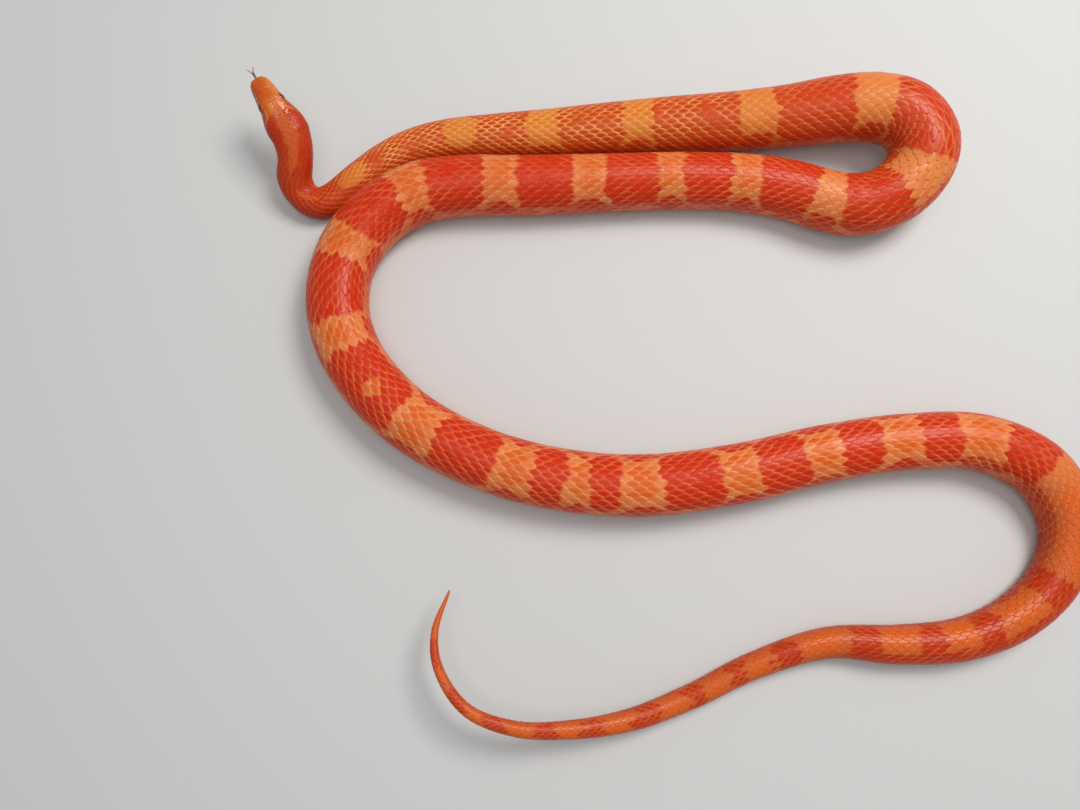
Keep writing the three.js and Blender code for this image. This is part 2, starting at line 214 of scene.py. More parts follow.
def headHalfSection(f):
    toNeck = smoothstep(f, mouthCorner, headLength)
    topPower = headForm["topPower"] + (section["backPower"] - headForm["topPower"]) * toNeck
    lowPower = headForm["lowPower"] + (section["flankPower"] - headForm["lowPower"]) * toNeck
    flatDrop = 1 + (section["bellyRound"] / section["bellyDrop"] - 1) * toNeck
    drop = headDropAt(f)
    across, rise = halfSection(topPower, lowPower, headRiseAt(f), drop * flatDrop, drop)
    above = rise - mouthAt(f)
    onMouth = smoothstep(f, 0, 3) * fadeOut(f, mouthCorner - 3, mouthCorner + 3)
    lips = headForm["lips"] * onMouth * sum(bump(above, sign * headForm["lipUp"], headForm["lipSpread"])
                                            for sign in (1, -1))
    swelling = softPatch(f, rise, *headForm["brow"]) + softPatch(f, rise, *headForm["hollow"]) + lips
    return evenly(across * headWidthAt(f) + swelling * np.minimum(1, cosTurn * 4), rise)


# columns from the belly's middle up the left side, over the back and down the right side
def bothSides(across, rise):
    return np.concatenate([-across[:0:-1], across]), np.concatenate([rise[:0:-1], rise])


def bodyRows(arcs):
    after, before = np.minimum(arcs + frameReach, bodyArc), np.maximum(arcs - frameReach, 0)
    turn = smoothstep(arcs, 0, neckTurn)[:, None]
    along = unit(unit(bellyPoint(after) - bellyPoint(before)) * turn - headX * (1 - turn))
    side = unit(np.cross([0, 0, 1.0], along))
    up = np.cross(along, side)
    r, flat = halfWidthAt(arcs), flatnessAt(arcs)
    across, rise = bothSides(*bodyHalfSection())
    middle = bellyPoint(arcs) + up * (section["bellyDrop"] * r * flat)[:, None]
    return (middle[:, None] + side[:, None] * (r[:, None] * across)[..., None]
            + up[:, None] * ((r * flat)[:, None] * rise)[..., None])


# rows are crowded at the tip of the snout, then lie every 0.2 mm on the head, 0.5 on the neck and 1 beyond
snoutTip, neckEnd = 3.2, 60
headArcs = np.concatenate([-headLength + snoutTip * np.linspace(0.01, 1, 24) ** 2,
                           np.arange(-headLength + 3.4, -0.1, 0.2)])
bodyArcs = np.concatenate([np.arange(0, neckEnd, 0.5), np.arange(neckEnd, bodyArc, 1.0), [bodyArc]])
headSections = [bothSides(*headHalfSection(headLength + a)) for a in headArcs]
headAcross = np.array([s[0] for s in headSections])  # to the animal's right
headUp = np.array([s[1] for s in headSections])
headRows = headPoint(np.repeat(-headArcs[:, None], 2 * columns + 1, 1), -headAcross, headUp)
tableArcs = np.concatenate([headArcs, bodyArcs])
tablePoints = np.concatenate([headRows, bodyRows(bodyArcs)])
tableNormals = unit(np.cross(np.gradient(tablePoints, tableArcs, axis=0), np.gradient(tablePoints, axis=1)))
halfPerimeter = np.linalg.norm(np.diff(tablePoints, axis=1), axis=2).sum(1) / 2
sideTable = ((tablePoints - headOrigin) @ -headY)[..., None]  # in the head's own frame
upTable = ((tablePoints - headOrigin) @ headZ)[..., None]
print("surface table", tablePoints.shape, "body length", round(float(bodyArc), 1))


# value of a table at places along (mm from the head joint) and around (-1 left belly, 0 back, 1 right belly)
def lookUp(table, arc, around):
    row = np.interp(arc, tableArcs, np.arange(len(tableArcs)))
    col = (np.clip(around, -1, 1) + 1) * columns
    i = np.minimum(row.astype(int), len(tableArcs) - 2)
    j = np.minimum(col.astype(int), 2 * columns - 1)
    s, t = (row - i)[..., None], (col - j)[..., None]
    return ((table[i, j] * (1 - t) + table[i, j + 1] * t) * (1 - s)
            + (table[i + 1, j] * (1 - t) + table[i + 1, j + 1] * t) * s)


def onSurface(arc, around, lift=0.0):
    arc, around, lift = np.broadcast_arrays(*(np.asarray(value, float) for value in (arc, around, lift)))
    return lookUp(tablePoints, arc, around) + unit(lookUp(tableNormals, arc, around)) * lift[..., None]


# mm of skin from the back to the middle of the belly
def halfGirthAt(arc):
    return np.interp(arc, tableArcs, halfPerimeter)


# Markings, by place: mm from the head joint and share round from the back, unless a note says otherwise

marks = {
    # middle and half length of each light band across the back, and how far down the sides it reaches
    "bands": [
        (53, 7.5, 0.2), (107, 8.5, 0.3), (144, 7.5, 1), (187, 7, 1), (241, 8.5, 1), (292, 8.5, 1),
        (337, 9, 1), (378, 6.5, 1), (417, 6.5, 1), (451, 6, 1), (487, 7, 1), (527, 7.5, 1),
        (567, 7, 1), (606, 7.5, 1), (648, 7.5, 1), (677, 3.4, 0.13), (701, 9.5, 1), (746, 8.5, 1),
        (773.5, 5, 1), (800, 9, 1), (842, 8, 1), (878.5, 7.5, 1), (912.5, 8.5, 1), (947, 9.5, 1),
        (1003.5, 26.5, 1), (1053, 11, 1), (1082, 7.6, 1), (1107, 8.5, 1), (1138, 11, 1), (1166, 6, 1),
        (1187, 6, 1), (1208, 6.5, 1), (1232, 7, 1), (1253, 5, 1), (1272, 6, 1), (1291, 4.5, 1),
        (1311, 5, 1), (1338, 12, 1),
    ],
    "waist": 0.19,  # how far round from the back the saddles keep their full length
    "saddleEdge": [(0, 0.52), (250, 0.48), (450, 0.43), (600, 0.38), (700, 0.34), (960, 0.35), (1040, 0.42)],
    "flare": 3.4,  # how much the light bands widen at the saddles' edge
    # ragged edges: height and length in mm, count from back to belly, seed
    "ragged": [(1.3, 8, 10, 3), (0.9, 3.5, 26, 4)], "raggedTail": (3.2, 2.3, 9, 6), "raggedBelow": 0.4,
    # clear orange in the light bands: how far it reaches along, in half lengths, and round
    "clearAlong": (0.35, 0.95), "clearSide": (0.12, 0.24),
    # blotches of the flanks, under each light band: their place, half height, red depth and ragged edge
    "spotMiddle": [(0, 0.42), (600, 0.42), (750, 0.38), (1346, 0.38)], "spotReach": 0.16,
    "spotRed": [(0, 0.2), (930, 0.2), (965, -0.15), (1030, -0.15), (1045, 0.2), (1115, 0.2), (1145, -0.6)],
    "spotRagged": (1.5, 4, 20, 9), "spotSqueeze": 0.85, "spotStretch": 0.35,
    # the rear lies turned a little: where the middle of its markings runs
    "roll": [(0, 0), (880, 0), (925, 0.06), (960, 0.03), (1040, -0.13), (1075, -0.17), (1120, -0.11),
             (1165, 0)],
    "flank": 0.62,  # share of red between the saddles and the belly
    "flankShade": 0.3, "flankLow": 0.7,  # shares of that gained down the sides, as painted shade, and past the saddles
    "bellyEdge": 0.72, "throatEdge": 0.54, "bellyFade": 0.045,
    # where one look turns into the next along the body
    "napeEnd": (40, 46), "flankStart": (30, 60), "throatEnd": (-6, 26), "neckTones": (32, 64),
    "rearTones": (150, 420), "clearStart": (390, 420), "longSpots": (930, 1010), "tailTones": (925, 1040),
    "tail": (1105, 1170),
    "tailMuted": 0.8, "saddleRed": 2, "tailLoss": 1.9,  # reds of the tail are this much less deep, in mm
    # the front's pale rims, partly painted glints, fade down its sides; a dip weakens all rims near 270 mm
    "rimAndGlintLoss": 0.75, "rimSides": (0.15, 0.42), "rimDip": (0.6, 270, 55),
}
nape = {
    # half width of the orange stripe down the nape, in mm; places along count from the snout
    "stripe": [(16, 1.4), (18, 2.4), (21, 2.9), (25, 3.2), (31, 2.9), (37, 1.9), (42, 0)],
    # upper and lower line of the red stripe behind the eye, and where it starts and ends
    "cheek": [(13.5, 0.25), (16.6, 0.255), (19, 0.34), (21, 0.44), (23, 0.52)],
    "cheekLow": 0.475, "cheekFrom": 13.6, "cheekTo": 23, "cheekSlope": 1.5,
    # where the nape's red starts, and its gap to that stripe in mm up to where they join
    "redFrom": 17.5, "redSlope": 1.2, "gap": 0.6, "joined": 21,
    "perTurn": 20,  # mm of skin for the whole way from back to belly, nearly
    # orange streaks in the red: strength, middle and half length from the head joint, middle and half width
    "streaks": [(1.2, 27, 6.5, -0.02, 0.045), (1.1, 31, 15, 0.36, 0.06)], "streakSlope": 3,
    "ragged": (0.5, 1.7, 25, 8),
}
bandMiddles, bandHalves, bandReach = np.array(marks["bands"], float).T
saddleEdgeAt, spotMiddleAt, spotRedAt, rollAt = (
    smoothProfile(marks[part]) for part in ("saddleEdge", "spotMiddle", "spotRed", "roll"))
napeAt = smoothProfile(nape["stripe"])
cheekAt = smoothProfile(nape["cheek"])


# smooth noise from -1 to 1 on the plane
def valueNoise(x, y, seed):
    table = np.random.default_rng(seed).uniform(-1, 1, (64, 64))
    i, j = np.floor(x).astype(int), np.floor(y).astype(int)
    s, t = smoothstep(x - i, 0, 1), smoothstep(y - j, 0, 1)
    return ((table[i % 64, j % 64] * (1 - s) + table[(i + 1) % 64, j % 64] * s) * (1 - t)
            + (table[i % 64, (j + 1) % 64] * (1 - s) + table[(i + 1) % 64, (j + 1) % 64] * s) * t)


def ragged(along, around, height, length, turns, seed):
    return height * valueNoise(along / length, around * turns, seed)


# how far inside the red of the nape and the cheek stripe a place is, in mm
def napeDepth(arc, around):
    f, side = arc + headLength, np.abs(around)
    cheek, perTurn = cheekAt(f), nape["perTurn"]
    arm = np.minimum(side * halfGirthAt(arc) - napeAt(f), (f - nape["redFrom"]) * nape["redSlope"])
    arm = np.where(f < nape["joined"], np.minimum(arm, (cheek - side) * perTurn - nape["gap"]), arm)
    stripe = np.minimum((side - cheek) * perTurn, (nape["cheekLow"] - side) * perTurn)
    stripe = np.minimum(stripe, (f - nape["cheekFrom"]) * nape["cheekSlope"])
    stripe = np.where(f < nape["cheekTo"], stripe, -5)
    streaks = [strength - np.hypot((arc - middle) / length, (around - turn) / width)
               for strength, middle, length, turn, width in nape["streaks"]]
    red = np.maximum(arm, stripe) + ragged(f, around, *nape["ragged"])
    return np.minimum(red, -nape["streakSlope"] * np.max(streaks, 0))


# how far inside a saddle a place of the body is, in mm, and its place in the nearest light band
def saddleDepth(arc, around):
    side = np.abs(around - rollAt(arc))
    wobble = sum(ragged(arc, around, *values) for values in marks["ragged"])
    wobble = wobble + ragged(arc, around, *marks["raggedTail"]) * smoothstep(arc, *marks["tail"])
    away = np.abs(arc[..., None] - bandMiddles)
    nearest = np.argmin(away - bandHalves, -1)
    middle, half, reach = bandMiddles[nearest], bandHalves[nearest], bandReach[nearest]
    edge = saddleEdgeAt(arc)
    flare = marks["flare"] * np.clip((side - marks["waist"]) / (edge - marks["waist"]), 0, 1) ** 2
    oval = np.sqrt(np.clip(1 - (side / reach) ** 2, 0, 1))
    bandHalf = np.where(reach < 1, half * oval - 3 * (oval == 0), half + flare)  # short bands are ovals
    depth = np.abs(arc - middle) - bandHalf + wobble
    depth = np.minimum(depth, (edge - side) * halfGirthAt(arc) + wobble * marks["raggedBelow"])
    return depth, (arc - middle) / half


# red depth in mm, and shares of clear orange, flank (partly painted shade down the sides), belly and rear at
# places of the body
def bodyMarks(arc, around):
    side = np.abs(around - rollAt(arc))
    depth, along = saddleDepth(arc, around)
    toNape = fadeOut(arc, *marks["napeEnd"])
    depth = depth * (1 - toNape) + napeDepth(arc, around) * toNape
    clear = fadeOut(np.abs(along), *marks["clearAlong"]) * fadeOut(side, *marks["clearSide"])
    clear = clear * smoothstep(arc, *marks["clearStart"]) * (depth < 0)
    edge = saddleEdgeAt(arc)
    # painted shade: the light bands darken slowly down the sides; past the saddles' edge comes the flanks'
    # own red
    flank = (marks["flankShade"] * smoothstep(side, 0.1, edge)
             + marks["flankLow"] * smoothstep(side, edge - 0.08, edge))
    flank = flank * smoothstep(arc, *marks["flankStart"])
    squeeze = marks["spotSqueeze"] - marks["spotStretch"] * smoothstep(arc, *marks["longSpots"])
    spot = fadeOut(np.hypot(along * squeeze, (side - spotMiddleAt(arc)) / marks["spotReach"]), 0.7, 1.1)
    spot = np.minimum(spot * 4 - 3 + ragged(arc, around, *marks["spotRagged"]), spotRedAt(arc))
    deepest = marks["saddleRed"] - marks["tailLoss"] * smoothstep(arc, *marks["tail"])
    depth = np.minimum(np.maximum(depth, spot), deepest)
    toBelly = smoothstep(arc, *marks["throatEnd"])
    bellyFrom = marks["throatEdge"] + (marks["bellyEdge"] - marks["throatEdge"]) * toBelly
    belly = smoothstep(np.abs(around), bellyFrom - marks["bellyFade"], bellyFrom)
    return depth, clear, flank * (1 - belly), belly, smoothstep(arc, *marks["rearTones"])


# the neck and the tail have the darker, less pale tones
def mutedShare(arc):
    return fadeOut(arc, *marks["neckTones"]) + marks["tailMuted"] * smoothstep(arc, *marks["tailTones"])


# the pale rims, partly painted glints, are strong on the front third's back, where the light falls, and on
# all of the rear
def rimAndGlintFade(arc, around):
    front = fadeOut(arc, *marks["rearTones"])
    dip, middle, spread = marks["rimDip"]
    sides = 1 - marks["rimAndGlintLoss"] * front * smoothstep(np.abs(around), *marks["rimSides"])
    return sides * (1 - dip * bump(arc, middle, spread))


# Materials

# a Math node's operation as an operator and as its reflected form
def bothWays(operation):
    def straight(self, other):
        return self.math(operation, other)

    def reflected(self, other):
        return self.math(operation, other, True)
    return straight, reflected


# a socket that can be added, multiplied and so on as a number
class Value:

    def __init__(self, tree, socket):
        self.tree, self.socket = tree, socket

    def math(self, operation, other, swap=False):
        node = self.tree.nodes.new("ShaderNodeMath")
        node.operation = operation
        for place, value in zip((1, 0) if swap else (0, 1), (self, other)):
            if isinstance(value, Value):
                self.tree.links.new(value.socket, node.inputs[place])
            else:
                node.inputs[place].default_value = value
        return Value(self.tree, node.outputs[0])

    __add__, __radd__ = bothWays("ADD")
    __sub__, __rsub__ = bothWays("SUBTRACT")
    __mul__, __rmul__ = bothWays("MULTIPLY")
    __truediv__, __rtruediv__ = bothWays("DIVIDE")

    def clamp(self):
        return self.math("MAXIMUM", 0.0).math("MINIMUM", 1.0)


# a new material and the few ways its nodes are added
class Finish:

    def __init__(self, name):
        self.material = bpy.data.materials.new(name)
        self.material.use_nodes = True
        self.tree = self.material.node_tree
        self.shader = self.tree.nodes["Principled BSDF"]

    def put(self, socket, value):
        if isinstance(value, Value):
            self.tree.links.new(value.socket, socket)
        else:
            socket.default_value = value

    # a socket is given by its name, or as i and its number
    def node(self, kind, settings=(), output=0, **inputs):
        made = self.tree.nodes.new(kind)
        for key, value in dict(settings).items():
            setattr(made, key, value)
        for key, value in inputs.items():
            self.put(made.inputs[int(key[1:]) if key[1:].isdigit() else key], value)
        return Value(self.tree, made.outputs[output])

    def mix(self, share, first, second):
        return self.node("ShaderNodeMix", {"data_type": "RGBA"}, 2, i0=share, i6=first, i7=second)

    # colours over a base, each by its share
    def over(self, base, *layers):
        for share, tone in layers:
            base = self.mix(share, base, tone)
        return base

    def attribute(self, name):
        return self.node("ShaderNodeAttribute", {"attribute_name": name}, "Fac")

    def place(self):
        return self.node("ShaderNodeTexCoord", output="Object")

    def noise(self, scale, detail):
        return self.node("ShaderNodeTexNoise", Vector=self.place(), Scale=scale, Detail=detail)

    def set(self, **inputs):
        for key, value in inputs.items():
            self.put(self.shader.inputs[key.replace("_", " ")], value)


# a screen colour, 0 to 255, as the shader's linear one
def colour(red, green, blue):
    shares = [value / 255 for value in (red, green, blue)]
    return (*(((c + 0.055) / 1.055) ** 2.4 if c > 0.0404 else c / 12.92 for c in shares), 1.0)


skinTones = {
    "redMuted": colour(178, 48, 9), "redFront": colour(194, 70, 20), "redRear": colour(196, 43, 8),
    "edgeRed": colour(172, 30, 8),
    "lightMuted": colour(188, 78, 22), "lightFront": colour(208, 118, 42), "lightRear": colour(216, 125, 70),
    "clear": colour(207, 89, 24),
    # pale scale rims, partly painted glints; brightest and yellowest on the front
    "rimMuted": colour(210, 98, 36), "rimFront": colour(248, 192, 104), "rimRear": colour(230, 112, 62),
    "lightRim": colour(240, 161, 104),
    "belly": colour(238, 206, 186), "bellyCheck": colour(216, 104, 50),
    "headTop": colour(196, 92, 16), "headGold": colour(212, 122, 32), "headRed": colour(180, 58, 8),
    # groove is the dark tone of the head's painted shade, and of the random dark flecks
    "headPale": colour(232, 142, 70), "groove": colour(84, 22, 4), "chin": colour(240, 206, 180),
    "roughness": 0.3, "specular": 0.18, "coat": 0.03, "headGloss": 0.4, "coatRoughness": 0.15,
    # how much each mark, scale and noise moves the tones
    "coreClear": 0.12, "patchClear": 1.6, "varyClear": 0.2, "varyFlank": 0.45, "rimLight": 0.55,
    "edgeShare": 0.3, "patchEdge": 0.8, "rimFrom": 0.32, "patchRim": 2.6, "varyRim": 0.2, "rimLeast": 0.2,
    "headMottle": 0.45, "fleckFrom": 0.62, "fleck": 0.35, "bellyFleck": 0.3,
    "grainRoughness": 0.2, "varyRoughness": 0.06, "bump": 0.12, "bumpHeight": 0.0001,
    "grainScale": 900.0, "patchScale": 120.0, "mottleScale": 420.0,
}
markNames = ("red", "edge", "clear", "core", "flank", "belly", "rear", "muted", "rim", "vary", "check")
headNames = ("head", "gold", "headRed", "pale", "groove")


# skin and scales read the same marks; the head's plates add their own tones and the painted shade of their
# seams and hollows
def snakeFinish(name, onHead=False):
    tones = skinTones
    finish = Finish(name)
    red, edge, clear, core, flank, belly, rear, muted, rim, vary, check = map(finish.attribute, markNames)
    grain = finish.noise(tones["grainScale"], 3.0)
    patch = finish.noise(tones["patchScale"], 2.0)
    light, dark, paleRim = (
        finish.over(tones[f"{part}Front"], (rear, tones[f"{part}Rear"]), (muted, tones[f"{part}Muted"]))
        for part in ("light", "red", "rim"))
    toClear = clear + core * tones["coreClear"] * rear + (patch - 0.5) * tones["patchClear"]
    # the flank share brings red into the light bands: the flanks' own red, and painted shade down the sides
    toFlank = flank * (marks["flank"] + vary * tones["varyFlank"])
    # pale rims on the light bands: pale scale edges, partly painted glints
    lightRim = finish.mix(rear * (1 - muted), paleRim, tones["lightRim"])
    light = finish.over(light, ((toClear + vary * tones["varyClear"]).clamp(), tones["clear"]),
                        (toFlank.clamp(), dark), (rim * tones["rimLight"], lightRim))
    toEdge = edge * tones["edgeShare"] + (patch - 0.5) * tones["patchEdge"]
    # pale rims over the reds: pale scale edges, partly painted glints
    toRim = (patch - tones["rimFrom"]) * tones["patchRim"] + vary * tones["varyRim"] + tones["rimLeast"]
    dark = finish.over(dark, (toEdge.clamp(), tones["edgeRed"]), (rim * toRim.clamp(), paleRim))
    base = finish.over(light, (red, dark), (belly, tones["belly"]), (check, tones["bellyCheck"]))
    gloss = tones["coat"]
    if onHead:
        head, gold, headRed, pale, groove = map(finish.attribute, headNames)
        gloss = head * tones["headGloss"] + tones["coat"]
        mottle = (finish.noise(tones["mottleScale"], 3.0) - tones["headMottle"]).clamp()
        top = finish.over(tones["headTop"], (gold, tones["headGold"]), (mottle, tones["headRed"]),
                          (headRed, tones["headRed"]), (pale, tones["headPale"]), (belly, tones["chin"]))
        # painted shade in the head's seams, mouth, nostrils, eye sockets and tongue notch
        base = finish.over(base, (head, top), (groove, tones["groove"]))
    flecks = (tones["fleckFrom"] - grain).clamp() * (tones["fleck"] - belly * tones["bellyFleck"])
    base = finish.mix(flecks, base, tones["groove"])
    relief = finish.node("ShaderNodeBump", Strength=tones["bump"], Distance=tones["bumpHeight"], Height=grain)
    roughness = (grain - 0.5) * tones["grainRoughness"] + vary * tones["varyRoughness"] + tones["roughness"]
    finish.set(Base_Color=base, Roughness=roughness, Normal=relief, Specular_IOR_Level=tones["specular"],
               Coat_Weight=gloss, Coat_Roughness=tones["coatRoughness"])
    return finish.material


# Meshes

# a mesh piece from points in millimetres, riding on the root
def addMesh(name, points, faces, material, replaces=(), attributes=None):
    mesh = bpy.data.meshes.new(name)
    mesh.from_pydata((np.asarray(points) * mm).tolist(), [], faces)
    for key, values in (attributes or {}).items():
        layer = mesh.attributes.new(key, "FLOAT", "POINT")
        layer.data.foreach_set("value", np.asarray(values, np.float32).ravel())
    mesh.materials.append(material)
    piece = bpy.data.objects.new(name, mesh)
    bpy.context.scene.collection.objects.link(piece)
    mesh.shade_smooth()
    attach(piece, "root")
    if replaces:
        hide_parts(*replaces)
    return piece


# faces of a tube of rings that follow one another
def tubeFaces(first, rings, sides):
    faces = []
    for i in range(rings - 1):
        for j in range(sides):
            a, b = first + i * sides + j, first + i * sides + (j + 1) % sides
            faces.append((a, a + sides, b + sides, b))
    return faces


# faces of one small mesh for many copies whose points follow one another
def repeatFaces(faces, stride, count):
    sizes = {}
    for face in faces:
        sizes.setdefault(len(face), []).append(face)
    made = []
    for rows in sizes.values():
        block = np.array(rows)[None] + (np.arange(count) * stride)[:, None, None]
        made.extend(block.reshape(-1, block.shape[-1]).tolist())
    return made


# into edit mode with the whole piece selected
def startEditing(piece):
    bpy.ops.object.select_all(action="DESELECT")
    piece.select_set(True)
    bpy.context.view_layer.objects.active = piece
    bpy.ops.object.mode_set(mode="EDIT")
    bpy.ops.mesh.select_all(action="SELECT")


# out of edit mode with all faces turned outwards
def endEditing():
    bpy.ops.mesh.select_all(action="SELECT")
    bpy.ops.mesh.normals_make_consistent(inside=False)
    bpy.ops.object.mode_set(mode="OBJECT")


# points and faces of a small modelled piece, which is then removed
def readMesh(piece):
    points = np.array([v.co for v in piece.data.vertices])
    faces = [list(p.vertices) for p in piece.data.polygons]
    bpy.data.objects.remove(piece, do_unlink=True)
    return points, faces


# the unwrap for the bake, from a place for every corner of the faces
def addBakeMap(piece, places):
    layer = piece.data.uv_layers.new(name="OFBake")
    layer.data.foreach_set("uv", places.astype(np.float32).ravel())


# copies of one small shape as one piece, each with its own patch on the bake map
def layCopies(name, points, faces, finish, values, along, across, patch):
    count, corners = points.shape[:2]
    whole = np.ones((count, corners))
    piece = addMesh(name, points.reshape(-1, 3), repeatFaces(faces, corners, count), finish,
                    attributes={part: value * whole for part, value in values.items()})
    share = (along - along.min()) / (along.max() - along.min())
    places = np.stack([(share * 0.98 + 0.01) * whole, across * whole], -1) + np.stack(patch, -1)
    order = np.zeros(len(piece.data.loops), np.int32)
    piece.data.loops.foreach_get("vertex_index", order)
    addBakeMap(piece, places.reshape(-1, 2)[order])
    print(name, count, "copies", len(piece.data.polygons), "faces")


# Head relief

eye = {
    "fromSnout": 11.9, "up": 2.85, "opening": 1.78, "forward": 0.12,  # looks a little ahead
    "depth": 1.3, "rim": 0.16, "rimSpread": 0.3, "ring": 2.75, "shade": 0.7,
}
nostril = {"fromSnout": 2.4, "up": 2.0, "radius": 0.56, "depth": 0.8}
noSeam = 9  # stands for a seam that is too far away to matter, in mm
plates = {
    "groove": 0.11, "grooveWidth": 0.12, "crown": 0.06, "seamShade": 0.24, "lowerShade": 0.35,
    "end": [(0, 19.2), (0.25, 19.6), (0.42, 20.8), (0.5, 22.0), (1, 22.4)],  # by place round from the back
    "topReach": (3.6, 5.4), "browStart": 7, "cheekFrom": 3.0, "cheekAbove": 1.2,
    "upperLip": [1.0, 2.7, 4.6, 6.7, 9.0, 11.6, 14.4, 17.6, 21.0], "upperSlant": 0.25,
    "lowerLip": [0.9, 2.3, 4.0, 5.9, 8.0, 10.3, 12.9, 15.8, 19.2], "lowerSlant": -0.2,
    "lipDepth": 1.75, "mouthWidth": 0.13, "mouthDepth": 0.4, "mouthShade": 0.85, "notch": 0.35,
    # seams as lines through points: on top in mm from the snout and round from the midline
    "topSeams": [
        [(0.7, 0), (6.2, 0), (6.2, 2.3), (7.4, 4.3), (12.0, 4.3), (15.1, 5.3), (17.5, 4.0), (19.0, 0),
         (12.5, 0), (11.6, 1.7), (6.2, 2.3)],
        [(0.7, 0), (1.3, 2.2), (2.6, 3.2), (6.7, 4.6)], [(2.4, 0), (2.6, 3.2)], [(11.6, 1.7), (12.0, 4.3)],
    ],
    # of the cheek, from the snout and up, for nasal, loreal and temples
    "cheekSeams": [
        [(1.5, 3.2), (1.8, 1.4)], [(4.4, 3.9), (4.5, 1.2)], [(6.6, 4.4), (6.9, 1.3)],
        [(8.2, 3.0), (9.3, 2.9)], [(14.6, 3.4), (18.4, 3.6)], [(14.6, 1.6), (20.5, 2.6)],
        [(16.6, 5.0), (16.9, 1.8)], [(18.9, 5.4), (19.4, 2.0)],
    ],
    # and of the paired chin plates, from the snout and round from the middle of the throat
    "chinSeams": [
        [(1.9, 1.3), (1.3, 0), (12.6, 0)], [(3.2, 0), (3.0, 1.9), (7.8, 2.2), (12.0, 1.9), (13.2, 0.2)],
        [(7.8, 2.2), (8.0, 0)],
    ],
    "chinPairs": (7.8, 13.2), "chinWidths": (2.3, 2.1), "throatPitch": 2.1, "throatWidth": 1.5,
}
plateEndAt = smoothProfile(plates["end"])


# distance from points to the nearest of the seams
def fromSeams(x, y, seams):
    found = []
    for seam in seams:
        for (ax, ay), (bx, by) in zip(seam, seam[1:]):
            t = ((x - ax) * (bx - ax) + (y - ay) * (by - ay)) / ((bx - ax) ** 2 + (by - ay) ** 2)
            t = np.clip(t, 0, 1)
            found.append(np.hypot(x - ax - t * (bx - ax), y - ay - t * (by - ay)))
    return np.min(found, 0)


# distance to the seams of the lip plates, above the mouth (positive) and below it
def lipSeams(f, fromMouth):
    upper, lower = (np.min([np.abs(f - at - plates[slant] * fromMouth) for at in plates[lip]], 0)
                    for lip, slant in (("upperLip", "upperSlant"), ("lowerLip", "lowerSlant")))
    depth = plates["lipDepth"] * smoothstep(f, 0.5, 3.5)
    upper = np.where(fromMouth > depth, noSeam, np.minimum(upper, np.abs(fromMouth - depth)))
    lower = np.where(fromMouth < -depth, noSeam, np.minimum(lower, np.abs(fromMouth + depth)))
    return np.where(fromMouth > 0, upper, lower)


# the cheek's seams and the ring round the eye, in side view
def cheekSeams(f, up):
    ring = np.abs(np.hypot(f - eye["fromSnout"], up - eye["up"]) - eye["ring"])
    return np.minimum(ring, fromSeams(f, up, plates["cheekSeams"]))


# chin plates in pairs, then small throat scales; g is measured round from the middle of the throat
def chinSeams(f, g):
    pitch, width = plates["throatPitch"], plates["throatWidth"]
    lattice = [np.abs((f / pitch + sign * g / width) % 1 - 0.5) / math.hypot(1 / pitch, 1 / width)
               for sign in (-1, 1)]
    front, back = plates["chinPairs"]
    inPlates = (f < back) & (g < np.where(f < front, *plates["chinWidths"]))
    throat = np.where(inPlates | (f < 4), noSeam, np.min(lattice, 0))
    return np.minimum(fromSeams(f, g, plates["chinSeams"]), throat)


# where the eye sits: the middle of its opening on the bare head, and its axis
def eyeFrame(sign):
    arc = eye["fromSnout"] - headLength
    column = np.linspace(0, 0.5, 400)
    height = lookUp(upTable, arc + 0 * column, sign * column)[..., 0]
    around = sign * column[np.argmin(np.abs(height - eye["up"]))]
    normal = unit(lookUp(tableNormals, np.float64(arc), np.float64(around)))
    return onSurface(arc, around), unit(normal + eye["forward"] * headX)


